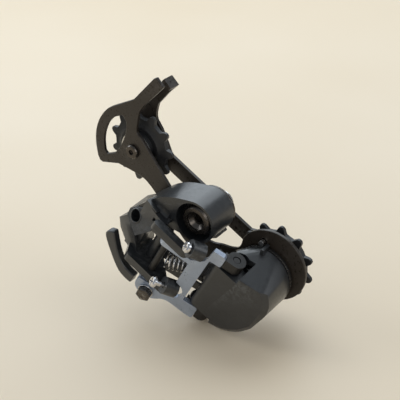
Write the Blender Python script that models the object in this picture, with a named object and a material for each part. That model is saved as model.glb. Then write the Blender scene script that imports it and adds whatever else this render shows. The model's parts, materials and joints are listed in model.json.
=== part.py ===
"""Rear bicycle derailleur, long cage, built as separate pieces around its real joints.

Lengths are in millimetres here and become metres when each mesh is placed. Points are given from
the centre of the guide pulley: X runs forward, Y runs inward to the wheel, Z is up. The links lie
in a frame that is tilted about Y, whose third axis is the pivot direction: its coordinates are
called u, v and w. The outer link has one more frame, turned from that one to its own direction.
"""
import math

import bmesh
import bpy
from mathutils import Matrix, Vector

MM = 0.001
GAP = 0.3

# The point under the middle of the object, seen from the guide pulley
ORIGIN = (-49.775, -20.18, -34.61)

# Chain and pulleys
CHAIN_PITCH = 12.7
PULLEY_TEETH = 11
PITCH_RADIUS = CHAIN_PITCH / 2 / math.sin(math.pi / PULLEY_TEETH)
TIP_RADIUS = PITCH_RADIUS + 0.15
ROOT_RADIUS = PITCH_RADIUS - 4.1
TOOTH_WIDTH = 3.0
TOOTH_TIP_WIDTH = 1.8
PULLEY_BORE = 4.2
GUIDE = (0.0, 0.0)
TENSION = (-93.5, 44.0)
GUIDE_PHASE = math.radians(19)
TENSION_PHASE = math.radians(0)

# Cage
OUTER_PLATE_Y = (-8.5, -6.5)
INNER_PLATE_Y = (6.0, 8.0)
CAGE_DISC = (1.0, 1.5)
CAGE_DISC_RADIUS = 21.45
BOLT_RADIUS = 2.5
BOLT_HOLE = BOLT_RADIUS + GAP
BUSHING_RADIUS = 3.9

# Cage pivot in the lower knuckle
CAGE_PIVOT = (-2.5, -4.5)
KNUCKLE_RADIUS = 17.7
KNUCKLE_REAR = -11.5
KNUCKLE_FRONT = -35.5
AXLE_RADIUS = 4.7
AXLE_FLANGE = 8.5
SPRING_POCKET = 12.0

# Upper knuckle and its mounting bolt
MOUNT = (-34.5, 28.0)
MOUNT_RADIUS = 12.7
MOUNT_FRONT = -31.5
MOUNT_REAR = -11.3
HANGER_FACE = -9.5
BOLT_SHANK = 5.0
BOLT_HEAD = 8.6

# Parallelogram, in the tilted frame
LINK_TILT = math.radians(28.5)
PIVOT_A1 = (-48.0, -39.0)
PIVOT_B1 = (-13.0, -29.5)
INNER_OFFSET = (-6.5, 8.0)
PIVOT_A2 = (PIVOT_A1[0] + INNER_OFFSET[0], PIVOT_A1[1] + INNER_OFFSET[1])
PIVOT_B2 = (PIVOT_B1[0] + INNER_OFFSET[0], PIVOT_B1[1] + INNER_OFFSET[1])
LINK_LENGTH = math.hypot(PIVOT_B1[0] - PIVOT_A1[0], PIVOT_B1[1] - PIVOT_A1[1])
LINK_ANGLE = math.atan2(PIVOT_B1[1] - PIVOT_A1[1], PIVOT_B1[0] - PIVOT_A1[0])
PIN_RADIUS = 2.0
PIN_HOLE = PIN_RADIUS + GAP
UPPER_ARM_W = (-5.2, -0.4)
LOWER_ARM_W = (-38.6, -33.4)
BARREL_W = (-34.9, 1.1)
BARREL_SPREAD = 4.1
EAR_TOP = 9.6
EAR_BOTTOM = -43.6
INNER_LINK_W = (-33.0, -15.5)
INNER_SKIRT_LOW = -41.0
INNER_LINK_RADIUS = 3.6


# ---------------------------------------------------------------- frames

def translation(point):
    return Matrix.Translation(Vector(point))


WORLD = Matrix.Identity(4)
TILTED = Matrix.Rotation(LINK_TILT, 4, "Y")
ALONG_LINK = TILTED @ translation((*PIVOT_A1, 0)) @ Matrix.Rotation(LINK_ANGLE, 4, "Z")
SHIFT = translation([-value for value in ORIGIN])


# ---------------------------------------------------------------- outlines

def arc(centre, radius, start, end, steps):
    """Points on a circle, from one angle to another in degrees."""
    points = []
    for index in range(steps + 1):
        angle = math.radians(start + (end - start) * index / steps)
        points.append((centre[0] + radius * math.cos(angle), centre[1] + radius * math.sin(angle)))
    return points


def smooth(points, steps=3):
    """A curve through the points, with more points between them."""
    result = []
    last = len(points) - 1
    for index in range(last):
        p0, p1, p2, p3 = (Vector(points[max(0, min(last, index + k))]) for k in (-1, 0, 1, 2))
        for step in range(steps):
            t = step / steps
            value = 2 * p1 + (p2 - p0) * t + (2 * p0 - 5 * p1 + 4 * p2 - p3) * t * t
            value += (3 * p1 - p0 - 3 * p2 + p3) * t ** 3
            result.append(tuple(value / 2))
    result.append(tuple(points[last]))
    return result


def regular(centre, radius, sides, phase=0.0):
    turn = 2 * math.pi / sides
    return [(centre[0] + radius * math.cos(phase + turn * k),
             centre[1] + radius * math.sin(phase + turn * k)) for k in range(sides)]


# ---------------------------------------------------------------- solids

def prism(outline, low, high, across="Y"):
    """A flat outline made thick. Across Y it holds (x, z) points, across Z it holds (x, y) ones."""
    mesh = bmesh.new()
    if across == "Y":
        rings = [[mesh.verts.new((x, level, z)) for x, z in outline] for level in (low, high)]
    else:
        rings = [[mesh.verts.new((x, y, level)) for x, y in outline] for level in (low, high)]
    mesh.faces.new(rings[0])
    mesh.faces.new(list(reversed(rings[1])))
    count = len(outline)
    for index in range(count):
        after = (index + 1) % count
        mesh.faces.new((rings[0][after], rings[0][index], rings[1][index], rings[1][after]))
    bmesh.ops.recalc_face_normals(mesh, faces=mesh.faces)
    return mesh


def rings_solid(rings, closed):
    """A skin over rings of points, capped at both ends or closed into a loop."""
    mesh = bmesh.new()
    layers = [[mesh.verts.new(point) for point in ring] for ring in rings]
    count = len(layers[0])
    pairs = list(zip(layers, layers[1:]))
    if closed:
        pairs.append((layers[-1], layers[0]))
    for lower, upper in pairs:
        for index in range(count):
            after = (index + 1) % count
            mesh.faces.new((lower[index], lower[after], upper[after], upper[index]))
    if not closed:
        mesh.faces.new(list(reversed(layers[0])))
        mesh.faces.new(layers[-1])
    bmesh.ops.recalc_face_normals(mesh, faces=mesh.faces)
    return mesh


def axis_matrix(base, direction):
    """Takes +Z to a direction, and the origin to a base point."""
    turn = Vector((0, 0, 1)).rotation_difference(Vector(direction)).to_matrix().to_4x4()
    return translation(base) @ turn


def turned(profile, base, direction, steps=24, closed=False):
    """A turned piece: (radius, height) pairs along a direction. A closed profile makes a ring."""
    rings = []
    for radius, height in profile:
        ring = []
        for index in range(steps):
            angle = 2 * math.pi * index / steps
            ring.append((radius * math.cos(angle), radius * math.sin(angle), height))
        rings.append(ring)
    mesh = rings_solid(rings, closed)
    bmesh.ops.transform(mesh, matrix=axis_matrix(base, direction), verts=mesh.verts)
    return mesh


def rod(base, direction, length, radius, steps=24):
    return turned([(radius, 0), (radius, length)], base, direction, steps)


def tube(base, direction, length, inner, outer, steps=24):
    profile = [(inner, 0), (outer, 0), (outer, length), (inner, length)]
    return turned(profile, base, direction, steps, closed=True)


def hex_socket(base, direction, depth, across_flats):
    """A six-sided plug for cutting a hex key's socket."""
    mesh = rings_solid([[(x, y, level) for x, y in regular((0, 0), across_flats / math.sqrt(3), 6)]
                        for level in (0, depth)], False)
    bmesh.ops.transform(mesh, matrix=axis_matrix(base, direction), verts=mesh.verts)
    return mesh


def hull(points):
    mesh = bmesh.new()
    for point in points:
        mesh.verts.new(point)
    result = bmesh.ops.convex_hull(mesh, input=mesh.verts)
    spare = set(result["geom_interior"]) | set(result["geom_unused"])
    spare = [item for item in spare if isinstance(item, bmesh.types.BMVert)]
    bmesh.ops.delete(mesh, geom=spare, context="VERTS")
    bmesh.ops.recalc_face_normals(mesh, faces=mesh.faces)
    return mesh


def coil(base, direction, radius, wire, turns, pitch, per_turn=14, sides=6):
    """A round wire wound along a direction."""
    rings = []
    for index in range(int(per_turn * turns) + 1):
        angle = 2 * math.pi * index / per_turn
        outward = Vector((math.cos(angle), math.sin(angle), 0))
        centre = outward * radius + Vector((0, 0, pitch * index / per_turn))
        ring = []
        for side in range(sides):
            around = 2 * math.pi * side / sides
            lift = Vector((0, 0, math.sin(around)))
            ring.append(centre + (outward * math.cos(around) + lift) * wire / 2)
        rings.append(ring)
    mesh = rings_solid(rings, False)
    bmesh.ops.transform(mesh, matrix=axis_matrix(base, direction), verts=mesh.verts)
    return mesh


# ---------------------------------------------------------------- objects

def material(name, colour, roughness, metallic):
    made = bpy.data.materials.new(name)
    made.use_nodes = True
    shader = made.node_tree.nodes["Principled BSDF"]
    shader.inputs["Base Color"].default_value = (*colour, 1.0)
    shader.inputs["Roughness"].default_value = roughness
    shader.inputs["Metallic"].default_value = metallic
    return made


def place(name, mesh, frame, pivot=(0, 0, 0)):
    """Makes an object whose origin is the pivot, given with the mesh in the frame's coordinates."""
    data = bpy.data.meshes.new(name)
    bmesh.ops.transform(mesh, matrix=translation([-value for value in pivot]), verts=mesh.verts)
    mesh.to_mesh(data)
    mesh.free()
    data.transform(Matrix.Scale(MM, 4))
    data.shade_smooth()
    data.set_sharp_from_angle(angle=math.radians(35))
    made = bpy.data.objects.new(name, data)
    bpy.context.collection.objects.link(made)
    matrix = SHIFT @ frame @ translation(pivot)
    matrix.translation *= MM
    made.matrix_world = matrix
    return made


def piece(name, mesh, frame, pivot, surface):
    made = place(name, mesh, frame, pivot)
    made.data.materials.append(surface)
    return made


def tool(target, mesh, frame, operation):
    """Joins a shape to an object or cuts it out of it."""
    count = len(target.modifiers)
    helper = place(f"{target.name}_tool_{count}", mesh, frame)
    helper.hide_render = True
    helper.display_type = "WIRE"
    modifier = target.modifiers.new(f"{operation.lower()}_{count}", "BOOLEAN")
    modifier.operation = operation
    modifier.object = helper
    modifier.solver = "EXACT"


def cut(target, mesh, frame=WORLD):
    tool(target, mesh, frame, "DIFFERENCE")


def join(target, mesh, frame=WORLD):
    tool(target, mesh, frame, "UNION")


# ---------------------------------------------------------------- pulleys

INWARD = (0, 1, 0)
OUTWARD = (0, -1, 0)


def tooth_contour(phase):
    """The toothed edge: for each angle, how far the edge is and how far up the tooth it is."""
    contour = []
    shape = ((-0.5, 0.0), (-0.27, 0.08), (-0.14, 0.8), (-0.05, 1.0), (0.05, 1.0), (0.14, 0.8),
             (0.27, 0.08))
    for tooth in range(PULLEY_TEETH):
        for fraction, rise in shape:
            contour.append((phase + 2 * math.pi * (tooth + fraction) / PULLEY_TEETH, rise))
    return contour


def pulley(name, centre, phase, surface):
    contour = tooth_contour(phase)
    half = TOOTH_WIDTH / 2
    side = [(PULLEY_BORE, 3.7), (9.0, 3.7), (9.6, 2.0), (13.4, 2.9), (16.2, half)]
    rings = []
    for radius, height in side:
        rings.append([(centre[0] + radius * math.cos(a), -height, centre[1] + radius * math.sin(a))
                      for a, _ in contour])
    for sign in (-1, 1):
        ring = []
        for angle, rise in contour:
            radius = ROOT_RADIUS + (TIP_RADIUS - ROOT_RADIUS) * rise
            width = half + (TOOTH_TIP_WIDTH / 2 - half) * rise
            ring.append((centre[0] + radius * math.cos(angle), sign * width,
                         centre[1] + radius * math.sin(angle)))
        rings.append(ring)
    for radius, height in reversed(side):
        rings.append([(centre[0] + radius * math.cos(a), height, centre[1] + radius * math.sin(a))
                      for a, _ in contour])
    return piece(name, rings_solid(rings, True), WORLD, (centre[0], 0, centre[1]), surface)


def pulley_fittings(label, centre, steel, bronze):
    """The sleeve that a pulley turns on and the two dust covers beside it."""
    x, z = centre
    outer, inner = OUTER_PLATE_Y[1] + GAP, INNER_PLATE_Y[0] - GAP
    sleeve_ends = (outer + 1.1 + GAP, inner - 1.1 - GAP)
    pivot = (x, 0, z)
    piece(f"{label}_bushing", tube((x, sleeve_ends[0], z), INWARD, sleeve_ends[1] - sleeve_ends[0],
                                   BOLT_HOLE, BUSHING_RADIUS), WORLD, pivot, bronze)
    piece(f"{label}_dust_cover_outer", tube((x, outer, z), INWARD, 1.1, BOLT_HOLE, 10.5), WORLD,
          pivot, steel)
    piece(f"{label}_dust_cover_inner", tube((x, inner - 1.1, z), INWARD, 1.1, BOLT_HOLE, 10.5),
          WORLD, pivot, steel)


def pulley_bolt(name, base, direction, length, pivot, surface):
    """A low round head with a 3 mm hex socket, and its shank."""
    head = 1.7
    profile = [(3.6, 0), (4.3, 0.6), (4.3, head), (BOLT_RADIUS, head), (BOLT_RADIUS, length)]
    made = piece(name, turned(profile, base, direction), WORLD, pivot, surface)
    cut(made, hex_socket(Vector(base) - 0.5 * Vector(direction), direction, 2.2, 3.0))
    return made


# ---------------------------------------------------------------- cage

def outer_cage_plate(surface):
    """A flat plate: round end at the pivot, bowed arm, and a D-shaped loop with a tab."""
    outline = arc(CAGE_DISC, CAGE_DISC_RADIUS, 213, 510, 40)
    outline += smooth([(-18.2, 9.0), (-19.6, 6.0), (-22.0, 4.2), (-26.0, 3.2)], 2)
    outline += smooth([(-32.0, 2.9), (-40.0, 2.2), (-50.0, 8.0), (-60.0, 19.0), (-67.6, 28.7)], 3)
    outline += smooth([(-87.6, 54.3), (-90.2, 56.6), (-89.4, 63.6), (-87.4, 70.6), (-83.4, 75.6)], 2)
    outline += [(-71.6, 87.4), (-70.4, 88.8), (-75.0, 93.4), (-76.8, 92.5), (-91.6, 76.8)]
    outline += smooth([(-101.3, 72.0), (-110.5, 67.0), (-117.2, 59.6), (-121.0, 51.0),
                       (-122.0, 42.0), (-121.0, 33.6)], 3)
    outline += [(-119.6, 30.8), (-117.6, 30.0)]
    outline += smooth([(-105.2, 32.6), (-96.0, 31.0), (-86.6, 28.6), (-78.4, 21.8), (-66.0, 6.0),
                       (-56.0, -5.0), (-45.0, -11.0), (-33.0, -13.0)], 3)
    made = piece("outer_cage_plate", prism(outline, *OUTER_PLATE_Y), WORLD,
                 (CAGE_PIVOT[0], 0, CAGE_PIVOT[1]), surface)
    window = smooth([(-106.3, 62.4), (-110.8, 58.0), (-114.0, 51.5), (-115.4, 45.0),
                     (-115.2, 38.6)], 3)
    window += [(-113.6, 36.8)]
    window += smooth([(-107.4, 39.3), (-103.8, 43.3), (-100.4, 49.4), (-98.2, 55.7),
                      (-97.9, 61.6), (-100.4, 65.0)], 2)
    cut(made, prism(window, OUTER_PLATE_Y[0] - 1, OUTER_PLATE_Y[1] + 1))
    cut(made, rod((TENSION[0], OUTER_PLATE_Y[0] - 1, TENSION[1]), INWARD, 4, BOLT_HOLE))
    cut(made, rod((CAGE_PIVOT[0], OUTER_PLATE_Y[0] - 1, CAGE_PIVOT[1]), INWARD, 4,
                  AXLE_FLANGE + GAP))
    pin = stop_pin_place()
    cut(made, rod((pin[0], OUTER_PLATE_Y[0] - 1, pin[1]), INWARD, 4, 1.6 + GAP, 16))
    return made


def inner_cage_plate(surface):
    """A flat plate: straight arm, round ends and a tab whose end is bent across the chain's gap."""
    outline = arc((0.6, -1.0), 13.6, 205, 428, 18)
    outline += [(-21.4, 9.3), (-77.0, 40.6)]
    outline += smooth([(-79.6, 47.0), (-83.6, 55.4), (-86.8, 60.0), (-87.2, 64.4), (-85.4, 70.6)], 2)
    outline += [(-77.6, 79.4), (-71.9, 84.8), (-76.7, 89.4), (-86.0, 81.6)]
    outline += smooth([(-95.0, 74.0), (-103.0, 62.0), (-106.0, 48.0), (-101.0, 36.0),
                       (-91.0, 31.4)], 3)
    outline += [(-80.9, 31.4), (-14.0, -6.2)]
    made = piece("inner_cage_plate", prism(outline, *INNER_PLATE_Y), WORLD,
                 (CAGE_PIVOT[0], 0, CAGE_PIVOT[1]), surface)
    flange = [(-71.9, 84.8), (-76.7, 89.4), (-78.2, 87.9), (-73.4, 83.3)]
    join(made, prism(flange, 0.4, INNER_PLATE_Y[1] - 0.4))
    for x, z in (GUIDE, TENSION):
        cut(made, rod((x, INNER_PLATE_Y[0] - 1, z), INWARD, 4, BOLT_HOLE))
    return made


def stop_pin_place():
    angle = math.radians(95.0)
    reach = KNUCKLE_RADIUS + 2.2
    return CAGE_PIVOT[0] + reach * math.cos(angle), CAGE_PIVOT[1] + reach * math.sin(angle)


def cage_hardware(steel, black, bronze):
    x, z = CAGE_PIVOT
    pivot = (x, 0, z)
    # Axle with the flange that the outer plate is riveted on
    front = KNUCKLE_FRONT + 4.8
    profile = [(AXLE_RADIUS - 0.6, 0), (AXLE_RADIUS, 0.6),
               (AXLE_RADIUS, OUTER_PLATE_Y[0] - front), (AXLE_FLANGE, OUTER_PLATE_Y[0] - front),
               (AXLE_FLANGE, OUTER_PLATE_Y[1] - front)]
    axle = piece("cage_pivot_axle", turned(profile, (x, front, z), INWARD), WORLD, pivot, steel)
    cut(axle, rod((GUIDE[0], OUTER_PLATE_Y[0] - 0.6, GUIDE[1]), INWARD, 4, BOLT_HOLE))
    pin = stop_pin_place()
    piece("cage_stop_pin", rod((pin[0], OUTER_PLATE_Y[1] - GAP, pin[1]), OUTWARD, 4.5, 1.6, 16),
          WORLD, pivot, steel)
    length = INNER_PLATE_Y[1] + 2 - OUTER_PLATE_Y[0] - 0.2
    pulley_bolt("guide_pulley_bolt", (0, INNER_PLATE_Y[1] + 2, 0), OUTWARD, length, pivot, black)
    length = INNER_PLATE_Y[1] - OUTER_PLATE_Y[0] + 2.4
    pulley_bolt("tension_pulley_bolt", (TENSION[0], OUTER_PLATE_Y[0] - 2, TENSION[1]), INWARD,
                length, pivot, black)
    pulley_fittings("guide_pulley", GUIDE, steel, bronze)
    pulley_fittings("tension_pulley", TENSION, steel, bronze)


# ---------------------------------------------------------------- lower knuckle

def swing_fan(centre, start, end, reach, half_width, low, high):
    """The space that an arm about a pivot needs, from one angle to another, in degrees."""
    points = arc(centre, half_width, end + 90, start + 270, 8)
    points += arc(centre, reach, start, end, 4)
    return prism(points, low, high, across="Z")


def p_knuckle(surface):
    """A drum round the cage pivot that flares into the barrel for the links' lower pins."""
    x, z = CAGE_PIVOT
    drum_u = x * math.cos(LINK_TILT) - z * math.sin(LINK_TILT)
    drum_w = x * math.sin(LINK_TILT) + z * math.cos(LINK_TILT)
    points = []
    for v, radius in ((KNUCKLE_REAR, KNUCKLE_RADIUS - 0.8), (KNUCKLE_REAR - 0.8, KNUCKLE_RADIUS),
                      (KNUCKLE_FRONT + 2.5, KNUCKLE_RADIUS - 0.4),
                      (KNUCKLE_FRONT, KNUCKLE_RADIUS - 3.2)):
        points += [(u, v, w) for u, w in regular((drum_u, drum_w), radius, 36)]
    # The top is planed off from the front edge up to the rim
    slope_base = Vector((-13.3, KNUCKLE_FRONT, 0.8))
    slope_edge = Vector((-0.6, KNUCKLE_FRONT, 5.1))
    slope_peak = Vector((-6.5, KNUCKLE_REAR - 0.8, 11.4))
    slope = (slope_edge - slope_base).cross(slope_peak - slope_base)
    points = [point for point in points if slope.dot(Vector(point) - slope_base) <= 0]
    points += [tuple(slope_base), tuple(slope_edge), tuple(slope_peak)]
    foot = smooth([(15.6, -18.6), (12.4, -26.0), (8.2, -31.6), (3.0, -36.0), (-3.0, -38.8),
                   (-9.0, -40.6), (-14.0, -41.4)], 2)
    points += [(u, KNUCKLE_FRONT + 1.6, w) for u, w in foot]
    points += [(u - 1.4, KNUCKLE_FRONT, w + 1.8) for u, w in foot]
    points += [(u - 5.0, KNUCKLE_FRONT + 13.0, w + 7.0) for u, w in foot]
    for w in (BARREL_W[0] - 3.0, BARREL_W[1]):
        points += [(u, v, w) for u, v in regular(PIVOT_B1, 6.4, 24)]
        points += [(u - BARREL_SPREAD, v - 0.7, w) for u, v in regular(PIVOT_B1, 6.0, 24)]
    made = piece("p_knuckle", hull(points), TILTED, (*PIVOT_B1, 0), surface)
    ear = [(u, v) for u, v in regular(PIVOT_B2, 4.2, 20)] + [(-4.0, -14.0), (-8.0, -27.0)]
    join(made, hull([(u, v, w) for u, v in ear for w in (-34.8, -5.0)]), TILTED)
    # Room for the ears of the outer link above and below the barrel
    for low, high in ((BARREL_W[1], 30.0), (-60.0, BARREL_W[0])):
        cut(made, turned([(8.0, low), (8.0, high)], (*PIVOT_B1, 0), (0, 0, 1)), TILTED)
    shelf = [(-40, -50), (-4.9, -50), (-4.9, -22.6), (-40, -22.6)]
    cut(made, prism(shelf, BARREL_W[1], 30.0, across="Z"), TILTED)
    shelf = [(-40, -50), (-4.9, -50), (-4.9, -10), (-40, -10)]
    cut(made, prism(shelf, -60.0, BARREL_W[0], across="Z"), TILTED)
    # Slot for the inner link and room for the return spring
    low, high = INNER_LINK_W[0] - 0.4, INNER_LINK_W[1] + 0.4
    cut(made, turned([(4.2, low), (4.2, high)], (*PIVOT_B2, 0), (0, 0, 1)), TILTED)
    cut(made, swing_fan(PIVOT_B2, 175, 255, 26, 5.4, low, high), TILTED)
    # Spring pocket, axle bore, pin bores
    cut(made, rod((x, KNUCKLE_REAR + 1, z), OUTWARD, 14.5, SPRING_POCKET, 32))
    cut(made, rod((x, KNUCKLE_REAR + 1, z), OUTWARD, 20.6, AXLE_RADIUS + GAP))
    for pivot in (PIVOT_B1, PIVOT_B2):
        cut(made, rod((*pivot, -60), (0, 0, 1), 80, PIN_HOLE, 16), TILTED)
    # Lug that the cage's stop pin rests on
    lug = [(reach * math.cos(math.radians(a)) + x, reach * math.sin(math.radians(a)) + z)
           for reach, a in ((15.5, 80), (15.5, 89), (20.2, 85.8), (19.8, 81.0))]
    join(made, prism(lug, KNUCKLE_REAR - 5.0, KNUCKLE_REAR - 0.4))
    tip = [(reach * math.cos(math.radians(a)) + x, reach * math.sin(math.radians(a)) + z)
           for reach, a in ((17.8, 81.0), (17.8, 88), (20.2, 85.8), (19.8, 81.0))]
    join(made, prism(tip, KNUCKLE_REAR - 3.0, OUTER_PLATE_Y[0] - 1.2))
    return made


def p_knuckle_hardware(steel, rubber):
    x, z = CAGE_PIVOT
    piece("cage_spring", coil((x, KNUCKLE_REAR - 12.6, z), INWARD, 9.0, 1.8, 4.25, 2.4), WORLD,
          (x, 0, z), steel)
    piece("cage_seal_ring", tube((x, OUTER_PLATE_Y[0] - GAP, z), OUTWARD, 2.4, 15.6, 17.2, 32),
          WORLD, (x, 0, z), rubber)
    for name, pivot, low, high in (("lower_pivot_pin_outer", PIVOT_B1, EAR_BOTTOM + 0.4,
                                    EAR_TOP - 1.9), ("lower_pivot_pin_inner", PIVOT_B2, -34.6, -5.2)):
        piece(name, rod((*pivot, low), (0, 0, 1), high - low, PIN_RADIUS, 16), TILTED,
              (*pivot, 0), steel)


# ---------------------------------------------------------------- links

def outer_link(surface):
    """A cover plate with two ears at each end, notched round the lower knuckle's barrel."""
    left = 15.6
    outline = [(left, -5.0)] + arc((16.4, 3.0), 6.4, -60, 8, 4) + [(23.0, 7.4), (23.4, 9.8)]
    outline += [(29.6, EAR_TOP), (30.8, EAR_TOP - 1.0), (30.8, 2.6), (30.2, 1.8)]
    outline += [(24.6, 1.8), (24.2, 1.4), (24.2, -34.9), (24.6, -35.6)]
    outline += [(33.0, -35.6), (33.8, -36.6), (33.8, EAR_BOTTOM - 0.6), (33.0, EAR_BOTTOM - 1.4)]
    outline += smooth([(28.0, EAR_BOTTOM - 1.2), (16.0, -43.8), (9.0, -49.0), (3.0, -50.2), (-2.4, -47.4),
                       (-4.0, -43.0), (-3.0, -39.4)], 3)
    outline += [(12.0, -39.4)] + arc((15.6, -32.9), 6.4, -55, 62, 6) + [(left, -26.2)]
    made = piece("outer_link", prism(outline, -5.5, -2.4), ALONG_LINK, (0, 0, 0), surface)
    for low, high, reach in ((UPPER_ARM_W[0] - 4.0, UPPER_ARM_W[0] - 0.5, 17.6),
                             (LOWER_ARM_W[0] - 3.8, LOWER_ARM_W[0] - 0.6, 10.0)):
        ear = arc((0, 0), 4.2, 90, 250, 10) + [(reach, -5.2), (reach, -2.6), (6.0, 2.2)]
        join(made, prism(ear, low, high, across="Z"), ALONG_LINK)
        cut(made, rod((0, 0, low - 1), (0, 0, 1), high - low + 2, PIN_HOLE, 16), ALONG_LINK)
    cut(made, rod((PINCH[0], -7, PINCH[1]), (0, 1, 0), 9, 2.3, 16), ALONG_LINK)
    return made


def lower_hinge_bosses(surface):
    """The two bosses on the outer link that hold the lower outer pin."""
    end = LINK_LENGTH
    for name, low, high in (("lower_hinge_boss_top", 2.0, EAR_TOP - 1.6),
                            ("lower_hinge_boss_bottom", EAR_BOTTOM + 0.1, -35.7)):
        front = 31.1 if low > 0 else 34.1
        outline = arc((end, 0), 5.4, -75, 190, 18) + [(25.4, 0.6), (25.4, -2.1), (front, -2.1)]
        outline += [(front, -4.9)]
        made = piece(name, prism(outline, low, high, across="Z"), ALONG_LINK, (end, 0, 0), surface)
        cut(made, rod((end, 0, low - 1), (0, 0, 1), high - low + 2, PIN_HOLE, 16), ALONG_LINK)


PINCH = (3.9, -45.6)
SCREW_LINE = Vector((-0.72, -0.66, 0.2)).normalized()
BOSS_L = (-31.5, -40.5, 3.6)
BOSS_H = (-32.8, -40.5, -32.5)


def cable_guide(surface):
    """A curved fin that leads the cable from its stop round to the pinch bolt."""
    rim = smooth([(-53.2, -50.6), (-58.0, -51.0), (-63.0, -50.0), (-68.0, -46.8), (-73.0, -42.6),
                  (-78.0, -38.0), (-80.9, -33.8), (-79.6, -30.4)], 2)
    inner = smooth([(-76.6, -28.6), (-72.0, -34.8), (-67.6, -39.8), (-62.0, -43.4), (-57.0, -44.2),
                    (-53.2, -44.0)], 2)
    made = piece("cable_guide", prism(rim + inner, -43.4, -38.8), TILTED, (*PIVOT_A1, 0), surface)
    return made


def inner_link(surface):
    """Two sleeves on the inner pins, joined by stacked webs with a skirt below."""
    low, high = INNER_LINK_W
    length = LINK_LENGTH
    base = translation((*INNER_OFFSET, 0))
    frame = TILTED @ base @ translation((*PIVOT_A1, 0)) @ Matrix.Rotation(LINK_ANGLE, 4, "Z")
    made = piece("inner_link", rod((0, 0, low), (0, 0, 1), high - low, INNER_LINK_RADIUS), frame,
                 (0, 0, 0), surface)
    join(made, rod((length, 0, low), (0, 0, 1), high - low, INNER_LINK_RADIUS), frame)
    ends = ((0, length), (0, length), (5.0, length - 1.0), (12.0, 25.0), (10.0, 35.5))
    sides = ((1.4, 3.4), (1.4, 3.4), (1.8, 3.2), (1.9, 3.1), (1.8, 3.2))
    heights = ((low + GAP, low + 3.9), (high - 4.5, high - GAP), (low + 2.0, high - 2.0),
               (INNER_SKIRT_LOW + 1.0, low + 3.0), (INNER_SKIRT_LOW, low - 2.6))
    for (start, end), (near, far), height in zip(ends, sides, heights):
        web = [(start, near), (end, near), (end, far), (start, far)]
        join(made, prism(web, *height, across="Z"), frame)
    for s in (0, length):
        cut(made, rod((s, 0, low - 2), (0, 0, 1), high - low + 4, PIN_HOLE, 16), frame)
    return made


# ---------------------------------------------------------------- upper knuckle

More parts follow.
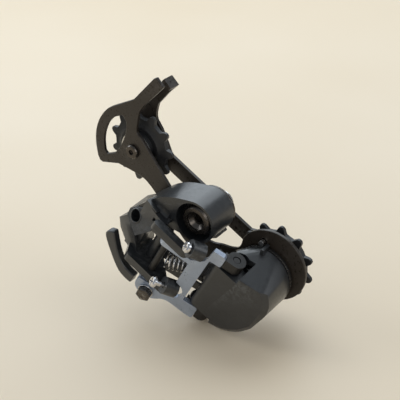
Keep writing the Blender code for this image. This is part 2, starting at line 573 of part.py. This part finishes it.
def b_knuckle(surface):
    """A drum for the mounting bolt, a hood, a block with the cable stop, and the link arms."""
    hood = arc(MOUNT, MOUNT_RADIUS, -100, 92, 34)
    hood += smooth([(-38.9, 40.4), (-45.6, 39.5), (-52.4, 37.9), (-59.3, 35.0), (-66.0, 30.6),
                    (-74.0, 24.4), (-80.0, 18.6)], 2)
    hood += [(-78.0, 10.0), (-62.0, 17.0), (-52.0, 19.4), (-44.0, 18.4)]
    made = piece("b_knuckle", prism(hood, MOUNT_FRONT, MOUNT_REAR), WORLD,
                 (MOUNT[0], 0, MOUNT[1]), surface)
    # Block with the cable stop's slanting face, and the wedge on its left
    stop = [(-69.9, -38.5, 10.7), (-58.9, -38.2, 17.1), (-56.5, -36.5, 22.6), (-68.6, -32.7, 25.8),
            (-73.3, -32.0, 25.2), (-77.5, -32.1, 22.9), (-78.8, -33.3, 19.2)]
    stop += [(x, -18.0, z) for x, z in ((-79.6, 19.4), (-76.0, 25.0), (-66.0, 30.0), (-58.0, 26.0),
                                        (-58.0, 17.0), (-70.0, 11.0))]
    join(made, hull(stop))
    wedge = [(-78.6, -33.4, 18.9), (-84.8, -33.2, 15.2), (-84.5, -33.2, 8.6), (-77.6, -35.6, -1.2),
             (-69.0, -38.2, -1.2), (-70.4, -38.0, 10.0), (-84.0, -18.7, 15.0), (-82.0, -18.7, 6.0),
             (-74.0, -20.0, -1.0), (-70.8, -20.0, -0.8), (-70.6, -18.7, 13.0), (-77.0, -18.7, 21.2)]
    join(made, hull(wedge))
    # Arms that hold the upper pins, with rounded tips
    low, high = UPPER_ARM_W
    upper = arc((-37.0, -40.6), 3.0, -90, 60, 6) + [(-38.0, -36.6), (-44.0, -35.4), (-54.0, -35.0)]
    upper += arc((-57.2, -40.6), 3.0, 150, 270, 6)
    ridge = arc((-37.0, -40.8), 2.4, -90, 60, 6) + arc((-57.2, -40.8), 2.4, 90, 270, 8)
    bar = [(u, v, w) for u, v in upper for w in (low, low + 1.6)] + [(u, v, high) for u, v in ridge]
    join(made, hull(bar), TILTED)
    root = [(-54.0, -35.2), (-56.0, -38.0), (-66.6, -35.4), (-66.6, -28.0), (-56.0, -28.0)]
    join(made, prism(root, low + 0.6, high - 1.3, across="Z"), TILTED)
    lower = arc((-37.0, -40.6), 3.0, -90, 60, 6) + [(-38.0, -36.4), (-50.0, -25.6)]
    lower += [(-64.0, -22.0), (-69.0, -34.0)] + arc((-62.0, -40.6), 3.0, 200, 270, 4)
    join(made, prism(lower, *LOWER_ARM_W, across="Z"), TILTED)
    wall = [(-72.0, -34.0), (-63.0, -36.0), (-62.0, -24.0), (-70.0, -22.0)]
    join(made, prism(wall, LOWER_ARM_W[0] + 0.4, UPPER_ARM_W[1] - 0.4, across="Z"), TILTED)
    # Neck between the hood and the upper arm
    neck = [(-66.0, -34.5, -5.0), (-57.0, -35.2, -5.0), (-66.0, -22.0, -5.0), (-56.0, -24.0, -5.0),
            (-66.0, -30.0, 4.0), (-57.0, -30.0, 4.0), (-66.0, -14.0, 4.0), (-57.0, -14.0, 4.0)]
    join(made, hull(neck), TILTED)
    # Lug that holds the upper end of the inner pin
    lug = arc(PIVOT_A2, 4.0, -90, 90, 8) + [(-67.0, -25.0), (-67.0, -35.0)]
    join(made, prism(lug, INNER_LINK_W[1] + GAP, INNER_LINK_W[1] + 6.0, across="Z"), TILTED)
    for boss in (BOSS_L, BOSS_H):
        join(made, rod(Vector(boss) - 3.6 * SCREW_LINE, SCREW_LINE, 8.0, 5.0, 32), TILTED)
        cut(made, rod(Vector(boss) - 12 * SCREW_LINE, SCREW_LINE, 24, 1.5 + GAP, 16), TILTED)
    for pivot, top in ((PIVOT_A1, UPPER_ARM_W[1] - 1.6), (PIVOT_A2, INNER_LINK_W[1] + 5.5)):
        base = LOWER_ARM_W[0] - 1
        cut(made, rod((*pivot, base), (0, 0, 1), top - base, PIN_HOLE, 16), TILTED)
    # Bore and counterbore of the mounting bolt
    x, z = MOUNT
    cut(made, rod((x, MOUNT_FRONT - 1, z), INWARD, 40, BOLT_SHANK + GAP))
    cut(made, rod((x, MOUNT_FRONT - 1, z), INWARD, 9.0, 11.4, 32))
    # Cable stop bore
    stop_line = Vector((-0.07, -0.91, 0.405)).normalized()
    stop_base = Vector((-71.9, -34.0, 20.8))
    cut(made, rod(stop_base - 8.0 * stop_line, stop_line, 20, 3.5, 24))
    cut(made, rod(stop_base - 24.0 * stop_line, stop_line, 20, 1.2, 10))
    # Lug for the stop plate's adjusting screw
    lug = [(-41.0, 18.0), (-41.0, 9.4), (-36.4, 9.4), (-36.4, 17.0)]
    join(made, prism(lug, -24.0, -15.0))
    cut(made, rod((-50.0, -19.5, 12.2), (1, 0, 0), 20, 1.7 + GAP, 14))
    return made


def hanger_hardware(steel, black):
    x, z = MOUNT
    pivot = (x, 0, z)
    rear = MOUNT_REAR + GAP
    plate = piece("hanger_stop_plate", tube((x, rear, z), INWARD, HANGER_FACE - rear,
                                            BOLT_SHANK + GAP, 12.6, 32), WORLD, pivot, black)
    tab = arc(MOUNT, 13.1, -80, -60, 5) + arc(MOUNT, 15.0, -60, -80, 5)
    join(plate, prism(tab, -20.0, HANGER_FACE))
    link = arc(MOUNT, 12.0, -80, -60, 5) + arc(MOUNT, 14.0, -60, -80, 5)
    join(plate, prism(link, rear, HANGER_FACE))
    # Mounting bolt: 17 mm head with a 5 mm socket in a wide counterbore
    head_front = MOUNT_FRONT + 1.6
    depth = MOUNT_FRONT + 8.0 - GAP - head_front
    profile = [(BOLT_HEAD - 1.0, 0), (BOLT_HEAD, 1.0), (BOLT_HEAD, depth), (BOLT_SHANK, depth),
               (BOLT_SHANK, 28.0), (BOLT_SHANK - 0.8, 28.8)]
    bolt = piece("mounting_bolt", turned(profile, (x, head_front, z), INWARD, 32), WORLD, pivot, black)
    cut(bolt, turned([(5.6, -1), (5.6, 1.4), (3.6, 3.4)], (x, head_front, z), INWARD))
    cut(bolt, hex_socket((x, head_front + 1, z), INWARD, 7.0, 5.0))
    groove = -3.2
    cut(bolt, tube((x, groove - 0.2, z), INWARD, 1.4, 4.2, 7.0))
    clip = [(4.5 * math.cos(math.radians(a)) + x, 4.5 * math.sin(math.radians(a)) + z)
            for a in range(-50, 231, 20)]
    clip += [(6.6 * math.cos(math.radians(a)) + x, 6.6 * math.sin(math.radians(a)) + z)
             for a in range(230, -51, -20)]
    piece("bolt_circlip", prism(clip, groove, groove + 1.0), WORLD, pivot, steel)


def upper_pins(steel):
    for name, pivot in (("upper_pivot_pin_outer", PIVOT_A1), ("upper_pivot_pin_inner", PIVOT_A2)):
        low = LOWER_ARM_W[0] + 0.2 if pivot is PIVOT_A2 else LOWER_ARM_W[0] - 3.6
        high = INNER_LINK_W[1] + 5.0 if pivot is PIVOT_A2 else UPPER_ARM_W[1] - 2.0
        piece(name, rod((*pivot, low), (0, 0, 1), high - low, PIN_RADIUS, 16), TILTED,
              (*pivot, 0), steel)


# ---------------------------------------------------------------- screws, spring

def slotted_screw(name, head_base, line, frame, head, shank, length, surface):
    """A round head with a cross slot; the head's outer face is at its base."""
    base = Vector(head_base)
    direction = Vector(line)
    profile = [(head * 0.8, 0), (head, 0.8), (head, 2.2), (shank, 2.2), (shank, length)]
    made = piece(name, turned(profile, base, direction, 18), frame, tuple(base), surface)
    helper = axis_matrix(base, direction)
    for size in ((head * 1.3, 0.7), (0.7, head * 1.3)):
        slot = prism([(-size[0] / 2, -size[1] / 2), (size[0] / 2, -size[1] / 2),
                      (size[0] / 2, size[1] / 2), (-size[0] / 2, size[1] / 2)], -0.5, 1.1, across="Z")
        bmesh.ops.transform(slot, matrix=helper, verts=slot.verts)
        cut(made, slot, frame)
    return made


def limit_screws(chrome):
    inward = -SCREW_LINE
    for name, boss, reach in (("limit_screw_low", BOSS_L, 7.4), ("limit_screw_high", BOSS_H, 12.0)):
        slotted_screw(name, Vector(boss) + reach * SCREW_LINE, inward, TILTED, 3.2, 1.5, 13.0, chrome)


def pinch_bolt(black, steel):
    """A hex bolt and its washer on the outer link's tail."""
    s, w = PINCH
    made = piece("pinch_bolt", rings_solid([[(s + x, -10.0 + t, w + z) for x, z in
                                             regular((0, 0), radius, 6, math.pi / 6)]
                                            for radius, t in ((4.2, 0), (4.6, 0.5), (4.6, 3.0))],
                                           False), ALONG_LINK, (s, 0, w), black)
    join(made, rod((s, -8.0, w), (0, 1, 0), 8.0, 2.0, 16), ALONG_LINK)
    piece("pinch_washer", tube((s, -6.7, w), (0, 1, 0), 0.9, 2.3, 4.6, 20), ALONG_LINK, (s, 0, w),
          steel)


def return_spring(steel):
    """An extension spring along the parallelogram's diagonal, with a cap on its end."""
    start = Vector((*PIVOT_A1, -23.5))
    end = Vector((*PIVOT_B2, -18.5))
    line = (end - start).normalized()
    coils = coil(start + 4.8 * line, line, 4.3, 1.5, 6, 2.5, 12, 6)
    piece("return_spring", coils, TILTED, tuple(start), steel)


def main():
    for item in list(bpy.data.objects):
        bpy.data.objects.remove(item, do_unlink=True)
    composite = material("black_composite", (0.035, 0.037, 0.040), 0.32, 0.0)
    cage_paint = material("cage_black_paint", (0.050, 0.047, 0.044), 0.38, 0.2)
    silver_paint = material("link_silver", (0.52, 0.55, 0.60), 0.34, 0.6)
    pulley_plastic = material("pulley_plastic", (0.030, 0.031, 0.034), 0.45, 0.0)
    black_steel = material("blackened_steel", (0.060, 0.058, 0.055), 0.30, 0.9)
    bright_steel = material("bright_steel", (0.62, 0.61, 0.60), 0.22, 1.0)
    chrome = material("chrome", (0.78, 0.78, 0.80), 0.10, 1.0)
    bronze = material("sleeve_bronze", (0.45, 0.33, 0.18), 0.40, 1.0)
    rubber = material("seal_rubber", (0.020, 0.020, 0.020), 0.70, 0.0)

    b_knuckle(composite)
    hanger_hardware(bright_steel, black_steel)
    upper_pins(black_steel)
    slotted_screw("b_tension_screw", (-45.6, -19.5, 12.2), (1, 0, 0), WORLD, 3.2, 1.7, 11.6, black_steel)
    limit_screws(chrome)
    outer_link(silver_paint)
    lower_hinge_bosses(composite)
    cable_guide(composite)
    pinch_bolt(black_steel, bright_steel)
    inner_link(composite)
    return_spring(bright_steel)
    p_knuckle(composite)
    p_knuckle_hardware(bright_steel, rubber)
    outer_cage_plate(cage_paint)
    inner_cage_plate(cage_paint)
    cage_hardware(bright_steel, black_steel, bronze)
    pulley("guide_pulley", GUIDE, GUIDE_PHASE, pulley_plastic)
    pulley("tension_pulley", TENSION, TENSION_PHASE, pulley_plastic)


main()
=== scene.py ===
"""Looks of the rear derailleur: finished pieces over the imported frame, a floor, lights and a camera."""

import json
import math

import bmesh
import bpy
from mathutils import Matrix, Vector


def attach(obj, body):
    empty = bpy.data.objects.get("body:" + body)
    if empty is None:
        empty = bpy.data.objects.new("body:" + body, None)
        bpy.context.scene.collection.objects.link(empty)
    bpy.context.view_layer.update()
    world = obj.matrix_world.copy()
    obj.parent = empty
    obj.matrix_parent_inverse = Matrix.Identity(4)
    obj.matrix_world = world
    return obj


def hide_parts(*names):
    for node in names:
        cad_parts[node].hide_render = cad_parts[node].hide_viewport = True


MM = 0.001
MERGE_DISTANCE = 0.002 * MM
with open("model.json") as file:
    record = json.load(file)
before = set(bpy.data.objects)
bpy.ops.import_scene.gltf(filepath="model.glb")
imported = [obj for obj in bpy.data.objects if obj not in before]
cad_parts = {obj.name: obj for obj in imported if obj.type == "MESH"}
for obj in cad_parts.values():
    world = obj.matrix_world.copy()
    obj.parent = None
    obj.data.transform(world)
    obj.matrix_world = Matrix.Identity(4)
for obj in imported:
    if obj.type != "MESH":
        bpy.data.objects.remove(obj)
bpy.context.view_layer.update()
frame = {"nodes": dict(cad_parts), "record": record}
BODY_OF = {node: body for body, nodes in frame["record"]["behaviour"]["bodies"].items()
           for node in nodes}
SLOT_OF = {part["node"]: part["material_slot"] for part in frame["record"]["subparts"]}


# ---------------------------------------------------------------- materials

class Tree:
    """A material's nodes, added one after another."""

    def __init__(self, name):
        self.material = bpy.data.materials.new(name)
        self.material.use_nodes = True
        self.nodes = self.material.node_tree.nodes
        self.links = self.material.node_tree.links
        self.shader = self.nodes["Principled BSDF"]
        self.place = self.nodes.new("ShaderNodeTexCoord").outputs["Object"]

    def link(self, source, target):
        self.links.new(source, target)

    def noise(self, scale, detail=4.0, rough=0.6, stretch=None, distortion=0.0):
        texture = self.nodes.new("ShaderNodeTexNoise")
        texture.inputs["Scale"].default_value = scale
        texture.inputs["Detail"].default_value = detail
        texture.inputs["Roughness"].default_value = rough
        texture.inputs["Distortion"].default_value = distortion
        source = self.place
        if stretch:
            mapping = self.nodes.new("ShaderNodeMapping")
            mapping.inputs["Scale"].default_value = stretch
            self.link(source, mapping.inputs["Vector"])
            source = mapping.outputs["Vector"]
        self.link(source, texture.inputs["Vector"])
        return texture.outputs["Fac"]

    def ranged(self, source, low, high, start=0.0, end=1.0):
        node = self.nodes.new("ShaderNodeMapRange")
        node.inputs["From Min"].default_value = start
        node.inputs["From Max"].default_value = end
        node.inputs["To Min"].default_value = low
        node.inputs["To Max"].default_value = high
        self.link(source, node.inputs["Value"])
        return node.outputs["Result"]

    def maths(self, operation, first, second):
        node = self.nodes.new("ShaderNodeMath")
        node.operation = operation
        node.use_clamp = True
        for socket, value in zip(node.inputs, (first, second)):
            if isinstance(value, float):
                socket.default_value = value
            else:
                self.link(value, socket)
        return node.outputs["Value"]

    def mixed(self, factor, first, second):
        node = self.nodes.new("ShaderNodeMix")
        node.data_type = "RGBA"
        self.link(factor, node.inputs["Factor"])
        for socket, value in ((node.inputs[6], first), (node.inputs[7], second)):
            if isinstance(value, tuple):
                socket.default_value = (*value, 1.0)
            else:
                self.link(value, socket)
        return node.outputs[2]

    def bump(self, height, strength, distance, below=None):
        node = self.nodes.new("ShaderNodeBump")
        node.inputs["Strength"].default_value = strength
        node.inputs["Distance"].default_value = distance
        self.link(height, node.inputs["Height"])
        if below:
            self.link(below, node.inputs["Normal"])
        return node.outputs["Normal"]

    def worn_edges(self, start, end, patches):
        """Where an edge stands out and has been rubbed."""
        geometry = self.nodes.new("ShaderNodeNewGeometry")
        edge = self.ranged(geometry.outputs["Pointiness"], 0.0, 1.0, start, end)
        rubbed = self.ranged(patches, 0.0, 1.0, 0.42, 0.62)
        return self.maths("MULTIPLY", edge, rubbed)


def shade(colour, factor):
    """The colour made darker or lighter, kept within one."""
    return tuple(min(1.0, part * factor) for part in colour)


def finish(name, colour, rough, metallic, grain, grain_depth, wear_colour=None, wear=0.0,
           coat=0.0, variation=0.18, stretch=None, wear_metal=None, coat_rough=0.12):
    """A surface with cloudy colour, uneven gloss, fine grain and rubbed edges."""
    tree = Tree(name)
    cloud = tree.noise(160.0, 5.0)
    fine = tree.noise(grain, 3.0, 0.65, stretch)
    smear = tree.noise(420.0, 6.0, 0.7, None, 0.6)
    base = tree.mixed(tree.ranged(cloud, 0.0, 1.0, 0.3, 0.7), shade(colour, 1 - variation),
                      shade(colour, 1 + variation))
    gloss = tree.ranged(smear, rough * 0.75, rough * 1.35, 0.3, 0.7)
    metal = None
    if wear_colour:
        edge = tree.worn_edges(0.53, 0.62, smear)
        edge = tree.maths("MULTIPLY", edge, wear)
        base = tree.mixed(edge, base, wear_colour)
        if wear_metal is not None:
            metal = tree.ranged(edge, metallic, wear_metal)
    dust = tree.ranged(tree.noise(900.0, 2.0, 0.5), 0.0, 0.10, 0.60, 0.78)
    base = tree.mixed(dust, base, shade(colour, 2.2))
    tree.link(base, tree.shader.inputs["Base Color"])
    tree.link(gloss, tree.shader.inputs["Roughness"])
    tree.shader.inputs["Metallic"].default_value = metallic
    if metal:
        tree.link(metal, tree.shader.inputs["Metallic"])
    tree.shader.inputs["Coat Weight"].default_value = coat
    tree.shader.inputs["Coat Roughness"].default_value = coat_rough
    wave = tree.bump(cloud, 0.10, 0.0003)
    tree.link(tree.bump(fine, 0.5, grain_depth, wave), tree.shader.inputs["Normal"])
    return tree.material


GLOSS_BLACK = finish("gloss_black_composite", (0.013, 0.0145, 0.0165), 0.38, 0.0, 2600.0, 0.00001,
                     (0.10, 0.105, 0.11), 0.5, coat=0.6, coat_rough=0.26)
DULL_BLACK = finish("dull_black_pin_and_boss_surface", (0.014, 0.013, 0.012), 0.42, 0.0, 2600.0, 0.00002,
                    (0.07, 0.06, 0.05), 0.5)
PULLEY = finish("moulded_pulley_plastic", (0.020, 0.021, 0.023), 0.40, 0.0, 1800.0, 0.00003,
                (0.09, 0.09, 0.095), 0.6)
CAGE = finish("brown_black_paint", (0.030, 0.024, 0.019), 0.30, 0.15, 2200.0, 0.00003,
              (0.30, 0.28, 0.26), 0.45, variation=0.10, wear_metal=0.9)
SILVER = finish("satin_silver_paint", (0.38, 0.44, 0.55), 0.32, 0.6, 3000.0, 0.000016,
                (0.78, 0.80, 0.84), 0.6, variation=0.08)
BLACK_STEEL = finish("blackened_steel", (0.092, 0.082, 0.074), 0.24, 0.9, 2400.0, 0.000012,
                     (0.55, 0.53, 0.50), 0.7, wear_metal=1.0)
BRIGHT = finish("bright_steel", (0.56, 0.55, 0.54), 0.24, 1.0, 900.0, 0.00001,
                (0.8, 0.79, 0.78), 0.4, variation=0.10, stretch=(1.0, 1.0, 14.0))
CHROME = finish("chrome_plate", (0.72, 0.72, 0.74), 0.10, 1.0, 700.0, 0.000004,
                (0.85, 0.85, 0.86), 0.3, variation=0.05)
BRONZE = finish("sintered_bronze", (0.42, 0.30, 0.16), 0.42, 1.0, 3000.0, 0.00003, variation=0.15)
RUBBER = finish("seal_rubber", (0.016, 0.016, 0.016), 0.68, 0.0, 1500.0, 0.00003, variation=0.12)
SURFACES = {"composite": GLOSS_BLACK, "pulley_plastic": PULLEY, "cage_paint": CAGE,
            "link_silver": SILVER, "black_steel": BLACK_STEEL, "bright_steel": BRIGHT,
            "chrome": CHROME, "sleeve_bronze": BRONZE, "seal_rubber": RUBBER}


# ---------------------------------------------------------------- pieces

FLAT_ANGLE = 2.0
SHARP_ANGLE = 44.0
BEVEL_ANGLE = 32.0
RING_SHARP_ANGLE = 50.0
# Pivot pins and hinge bosses are drawn in a dull black in place of their slot's surface.
DULL = ("lower_hinge_boss_top", "lower_hinge_boss_bottom", "lower_pivot_pin_outer",
        "lower_pivot_pin_inner", "upper_pivot_pin_outer", "upper_pivot_pin_inner")


def shown(name, mesh, body, slot, surface=None):
    """A visible piece on its body, in its slot's surface unless another is given."""
    made = bpy.data.objects.new(name, mesh)
    bpy.context.scene.collection.objects.link(made)
    mesh.materials.clear()
    mesh.materials.append(surface or SURFACES[slot])
    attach(made, body)
    return made


def merged(node):
    """A copy of a CAD node's mesh and an open working mesh with its points joined."""
    mesh = frame["nodes"][node].data.copy()
    work = bmesh.new()
    work.from_mesh(mesh)
    bmesh.ops.remove_doubles(work, verts=work.verts, dist=MERGE_DISTANCE)
    return mesh, work


def closed(mesh, work, sharp=None):
    """Write the working mesh back, shaded smooth but for edges sharper than an angle."""
    work.to_mesh(mesh)
    work.free()
    mesh.shade_smooth()
    if sharp:
        mesh.set_sharp_from_angle(angle=math.radians(sharp))


def rounded(node, width):
    """A CAD node's shape with its edges broken by a small radius."""
    mesh, work = merged(node)
    bmesh.ops.dissolve_limit(work, angle_limit=math.radians(FLAT_ANGLE), verts=work.verts,
                             edges=work.edges)
    closed(mesh, work, SHARP_ANGLE)
    made = shown(f"{node}_finished", mesh, BODY_OF[node], SLOT_OF[node],
                 DULL_BLACK if node in DULL else None)
    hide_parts(node)
    bevel = made.modifiers.new("edge_radius", "BEVEL")
    bevel.width = width * MM
    bevel.segments = 2
    bevel.limit_method = "ANGLE"
    bevel.angle_limit = math.radians(BEVEL_ANGLE)
    bevel.use_clamp_overlap = True
    bevel.miter_outer = "MITER_ARC"
    normals = made.modifiers.new("even_normals", "WEIGHTED_NORMAL")
    normals.keep_sharp = True
    return made


def coiled(node):
    """A CAD spring with its wire made round."""
    mesh, work = merged(node)
    bmesh.ops.join_triangles(work, faces=work.faces, angle_face_threshold=math.radians(40),
                             angle_shape_threshold=math.radians(60))
    closed(mesh, work)
    made = shown(f"{node}_finished", mesh, BODY_OF[node], SLOT_OF[node])
    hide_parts(node)
    made.modifiers.new("round_wire", "SUBSURF").render_levels = 1


COILS = ("return_spring", "cage_spring")
EDGE = {"b_knuckle": 0.7, "p_knuckle": 0.6, "outer_link": 0.5, "cable_guide": 0.7,
        "outer_cage_plate": 0.35, "inner_cage_plate": 0.35, "mounting_bolt": 0.25,
        "hanger_stop_plate": 0.3, "inner_link": 0.3, "pinch_bolt": 0.3, "pinch_washer": 0.15,
        "guide_pulley": 0.2, "tension_pulley": 0.2}
for node in frame["nodes"]:
    if node in COILS:
        coiled(node)
    else:
        rounded(node, EDGE.get(node, 0.12))


def lathe(name, profile, base, direction, body, slot, steps=72):
    """A ring turned round an axis from a closed (radius, height) outline, in millimetres."""
    turn = Vector((0, 0, 1)).rotation_difference(Vector(direction)).to_matrix()
    points, faces = [], []
    count = len(profile)
    for step in range(steps):
        angle = 2 * math.pi * step / steps
        for radius, height in profile:
            local = Vector((radius * math.cos(angle), radius * math.sin(angle), height)) * MM
            points.append(Vector(base) + turn @ local)
        for index in range(count):
            after = (index + 1) % count
            following = (step + 1) % steps
            faces.append((step * count + index, following * count + index,
                          following * count + after, step * count + after))
    mesh = bpy.data.meshes.new(name)
    mesh.from_pydata(points, [], faces)
    work = bmesh.new()
    work.from_mesh(mesh)
    bmesh.ops.recalc_face_normals(work, faces=work.faces)
    closed(mesh, work, RING_SHARP_ANGLE)
    return shown(name, mesh, body, slot)


STOP_MOUTH = (-0.022125, -0.01382, 0.05541)
STOP_FACING = (-0.187, -0.912, 0.365)
LIP_PROFILE = [(3.55, -0.3), (3.55, 0.25), (3.75, 0.5), (4.2, 0.5), (4.5, 0.2), (4.5, -0.3)]
lathe("cable_stop_lip", LIP_PROFILE, STOP_MOUTH, STOP_FACING, "upper_knuckle", "composite")
# A thin bright steel ring laid on the lower knuckle's rim: a painted highlight, standing for the bright
# arc of light along that edge.
RIM_CENTRE = (0.047275, 0.0091, 0.03011)
RIM_FACING = (0, 1, 0)
RIM_HIGHLIGHT_PROFILE = [(17.24, 0.0), (17.55, 0.0), (17.6, 0.3), (17.55, 0.6), (17.24, 0.6)]
lathe("knuckle_rim_highlight_ring", RIM_HIGHLIGHT_PROFILE, RIM_CENTRE, RIM_FACING, "lower_knuckle",
      "bright_steel", 96)


# ---------------------------------------------------------------- floor, lights, camera

CAMERA_PLACE = (0.236175, -0.32062, 0.29601)
CAMERA_TURN = 35.0
CAMERA_LIFT = 30.0
SENSOR_WIDTH = 36.0
LENS_LENGTH = 75.33
FLOOR_HALF = 3.0
AIM = (0.0, 0.0, 0.06)
DAYLIGHT = (0.90, 0.96, 1.0)


def floor():
    """A plain pale floor at the height that the part lies on."""
    mesh = bpy.data.meshes.new("floor")
    corners = [(-1, -1), (1, -1), (1, 1), (-1, 1)]
    mesh.from_pydata([(x * FLOOR_HALF, y * FLOOR_HALF, 0) for x, y in corners], [],
                     [(0, 1, 2, 3)])
    made = bpy.data.objects.new("floor", mesh)
    bpy.context.scene.collection.objects.link(made)
    tree = Tree("pale_floor")
    tint = tree.ranged(tree.noise(3.0, 2.0), 0.0, 1.0, 0.3, 0.7)
    tree.link(tree.mixed(tint, (0.80, 0.66, 0.48), (0.84, 0.71, 0.54)),
              tree.shader.inputs["Base Color"])
    tree.shader.inputs["Roughness"].default_value = 0.45
    mesh.materials.append(tree.material)


def softbox(name, place, size, power, colour):
    """A rectangular light turned to the part."""
    light = bpy.data.lights.new(name, "AREA")
    light.shape = "RECTANGLE"
    light.size, light.size_y = size
    light.energy = power
    light.color = colour
    made = bpy.data.objects.new(name, light)
    made.location = place
    made.rotation_euler = (Vector(AIM) - Vector(place)).to_track_quat("-Z", "Y").to_euler()
    bpy.context.scene.collection.objects.link(made)


def camera():
    """The camera, turned round the part and tipped down at it."""
    turn, lift = math.radians(CAMERA_TURN), math.radians(CAMERA_LIFT)
    right = Vector((math.cos(turn), math.sin(turn), 0))
    ahead = Vector((-math.sin(turn) * math.cos(lift), math.cos(turn) * math.cos(lift),
                    -math.sin(lift)))
    up = right.cross(ahead)
    lens = bpy.data.cameras.new("camera")
    lens.sensor_width = SENSOR_WIDTH
    lens.lens = LENS_LENGTH
    made = bpy.data.objects.new("camera", lens)
    columns = Matrix((right, up, -ahead)).transposed().to_4x4()
    made.matrix_world = Matrix.Translation(CAMERA_PLACE) @ columns
    bpy.context.scene.collection.objects.link(made)
    bpy.context.scene.camera = made


floor()
softbox("back_window", (-0.42, 0.62, 0.75), (1.5, 1.1), 10.0, (0.86, 0.94, 1.0))
softbox("left_window", (-0.9, -0.3, 0.5), (0.4, 0.7), 3.0, DAYLIGHT)
softbox("front_fill", (0.5, -0.8, 0.35), (0.35, 0.5), 1.3, (1.0, 0.95, 0.88))
softbox("right_window", (0.85, 0.3, 0.5), (0.4, 0.6), 1.2, (0.92, 0.96, 1.0))
world = bpy.data.worlds.new("studio")
world.use_nodes = True
background = world.node_tree.nodes["Background"]
background.inputs["Color"].default_value = (0.88, 0.94, 1.0, 1.0)
background.inputs["Strength"].default_value = 0.34
bpy.context.scene.world = world
bpy.context.scene.view_settings.view_transform = "Standard"
camera()
